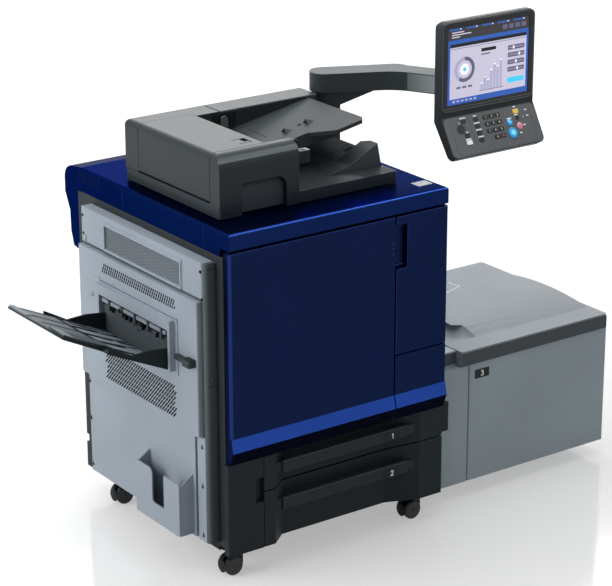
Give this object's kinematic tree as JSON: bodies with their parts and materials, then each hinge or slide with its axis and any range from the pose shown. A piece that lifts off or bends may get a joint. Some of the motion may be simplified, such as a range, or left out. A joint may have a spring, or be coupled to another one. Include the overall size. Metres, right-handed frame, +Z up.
{
  "type": "digital production press",
  "caption": "Free-standing press on casters with document feeder, swing-arm control panel, paper drawers, sloping output tray, front doors and a docked side paper unit with a lifting lid.",
  "frame": {"origin": "middle of the whole machine's footprint on the floor, cables excluded", "axes": "+X to the machine's right along its length, +Y from the front doors to the back, +Z up from the floor"},
  "size_m": [1.859, 0.895, 1.476],
  "materials": {
    "cover_blue": "metallic satin",
    "door_navy": "metallic satin",
    "strip_blue": "gloss",
    "panel_grey": "fine textured satin",
    "unit_grey": "fine textured satin",
    "charcoal": "fine grained",
    "arm_grey": "fine grained",
    "tray_grey": "fine grained",
    "frame_dark": "satin",
    "zinc": "plated sheet",
    "clear_glass": "clear",
    "screen_glass": "gloss",
    "key_plastic": "moulded",
    "caster_black": "matte"
  },
  "bodies": {
    "cabinet": {"base_plate": "frame_dark", "side_frame_left": "frame_dark", "side_frame_right": "panel_grey", "back_panel": "panel_grey", "engine_core": "frame_dark", "top_cover": "cover_blue", "scan_glass": "clear_glass", "rear_duct": "cover_blue", "upper_side_cover": "panel_grey", "exit_panel": "panel_grey", "exit_collar": "panel_grey", "exit_wall_plate": "zinc", "lower_side_cover": "panel_grey", "corner_cover": "panel_grey", "brochure_pocket": "panel_grey", "output_tray": "charcoal", "release_lever": "charcoal", "drawer_column": "charcoal", "docking_block": "charcoal", "lower_front_cover": "door_navy", "cover_strip": "strip_blue", "arm_column": "arm_grey", "paper_unit_shell": "unit_grey", "paper_unit_front": "unit_grey", "paper_unit_side": "unit_grey", "levelling_feet": "frame_dark"},
    "front_door": {"front_door": "door_navy", "door_strip": "strip_blue"},
    "toner_door": {"toner_door": "door_navy"},
    "drawer_1": {"drawer_front_1": "charcoal", "drawer_tray_1": "zinc", "drawer_handle_1": "charcoal"},
    "drawer_2": {"drawer_front_2": "charcoal", "drawer_tray_2": "zinc", "drawer_handle_2": "charcoal"},
    "feeder": {"feeder_base": "charcoal", "feeder_housing": "charcoal", "feeder_rail": "charcoal", "document_tray": "tray_grey"},
    "feeder_flap": {"feeder_flap": "charcoal"},
    "swing_arm": {"swing_arm": "arm_grey"},
    "knuckle": {"panel_knuckle": "arm_grey"},
    "panel": {"panel_housing": "charcoal", "panel_screen": "screen_glass", "panel_keys": "key_plastic"},
    "unit_lid": {"paper_unit_lid": "unit_grey"},
    "caster_front_left": {"caster_fork_front_left": "frame_dark"},
    "wheels_front_left": {"caster_wheels_front_left": "caster_black"},
    "caster_front_right": {"caster_fork_front_right": "frame_dark"},
    "wheels_front_right": {"caster_wheels_front_right": "caster_black"},
    "caster_back_left": {"caster_fork_back_left": "frame_dark"},
    "wheels_back_left": {"caster_wheels_back_left": "caster_black"},
    "caster_back_right": {"caster_fork_back_right": "frame_dark"},
    "wheels_back_right": {"caster_wheels_back_right": "caster_black"}
  },
  "joints": [
    {"name": "front_door_swing", "type": "hinge", "parent": "cabinet", "child": "front_door", "pos_m": [-0.5395, -0.4245, 0.7], "axis": [0, 0, -1], "range_deg": [0, 110]},
    {"name": "toner_door_swing", "type": "hinge", "parent": "cabinet", "child": "toner_door", "pos_m": [0.2045, -0.4245, 0.78], "axis": [0, 0, 1], "range_deg": [0, 95]},
    {"name": "drawer_1_slide", "type": "slide", "parent": "cabinet", "child": "drawer_1", "axis": [0, -1, 0], "range_m": [0, 0.48]},
    {"name": "drawer_2_slide", "type": "slide", "parent": "cabinet", "child": "drawer_2", "axis": [0, -1, 0], "range_m": [0, 0.48]},
    {"name": "feeder_lift", "type": "hinge", "parent": "cabinet", "child": "feeder", "pos_m": [-0.1675, 0.1865, 1.056], "axis": [-1, 0, 0], "range_deg": [0, 60]},
    {"name": "feeder_flap_lift", "type": "hinge", "parent": "feeder", "child": "feeder_flap", "pos_m": [-0.4915, -0.0875, 1.09], "axis": [0, -1, 0], "range_deg": [0, 80]},
    {"name": "arm_swing", "type": "hinge", "parent": "cabinet", "child": "swing_arm", "pos_m": [0.1735, 0.1185, 1.22], "axis": [0, 0, 1], "range_deg": [-20, 60]},
    {"name": "panel_turn", "type": "hinge", "parent": "swing_arm", "child": "knuckle", "pos_m": [0.48938, -0.19613, 1.248], "axis": [0, 0, 1], "range_deg": [-40, 40]},
    {"name": "panel_tilt", "type": "hinge", "parent": "knuckle", "child": "panel", "pos_m": [0.48938, -0.22413, 1.248], "axis": [-1, 0, 0], "range_deg": [-10, 25]},
    {"name": "lid_lift", "type": "hinge", "parent": "cabinet", "child": "unit_lid", "pos_m": [0.6325, 0.2635, 0.44], "axis": [-1, 0, 0], "range_deg": [0, 60]},
    {"name": "caster_front_left_swivel", "type": "hinge", "parent": "cabinet", "child": "caster_front_left", "pos_m": [-0.4895, -0.3725, 0.074], "axis": [0, 0, 1], "continuous": true},
    {"name": "wheels_front_left_roll", "type": "hinge", "parent": "caster_front_left", "child": "wheels_front_left", "pos_m": [-0.5135, -0.3725, 0.029], "axis": [0, 1, 0], "continuous": true},
    {"name": "caster_front_right_swivel", "type": "hinge", "parent": "cabinet", "child": "caster_front_right", "pos_m": [0.1565, -0.3725, 0.074], "axis": [0, 0, 1], "continuous": true},
    {"name": "wheels_front_right_roll", "type": "hinge", "parent": "caster_front_right", "child": "wheels_front_right", "pos_m": [0.1325, -0.3725, 0.029], "axis": [0, 1, 0], "continuous": true},
    {"name": "caster_back_left_swivel", "type": "hinge", "parent": "cabinet", "child": "caster_back_left", "pos_m": [-0.4895, 0.2255, 0.074], "axis": [0, 0, 1], "continuous": true},
    {"name": "wheels_back_left_roll", "type": "hinge", "parent": "caster_back_left", "child": "wheels_back_left", "pos_m": [-0.5135, 0.2255, 0.029], "axis": [0, 1, 0], "continuous": true},
    {"name": "caster_back_right_swivel", "type": "hinge", "parent": "cabinet", "child": "caster_back_right", "pos_m": [0.1565, 0.2255, 0.074], "axis": [0, 0, 1], "continuous": true},
    {"name": "wheels_back_right_roll", "type": "hinge", "parent": "caster_back_right", "child": "wheels_back_right", "pos_m": [0.1325, 0.2255, 0.029], "axis": [0, 1, 0], "continuous": true}
  ]
}
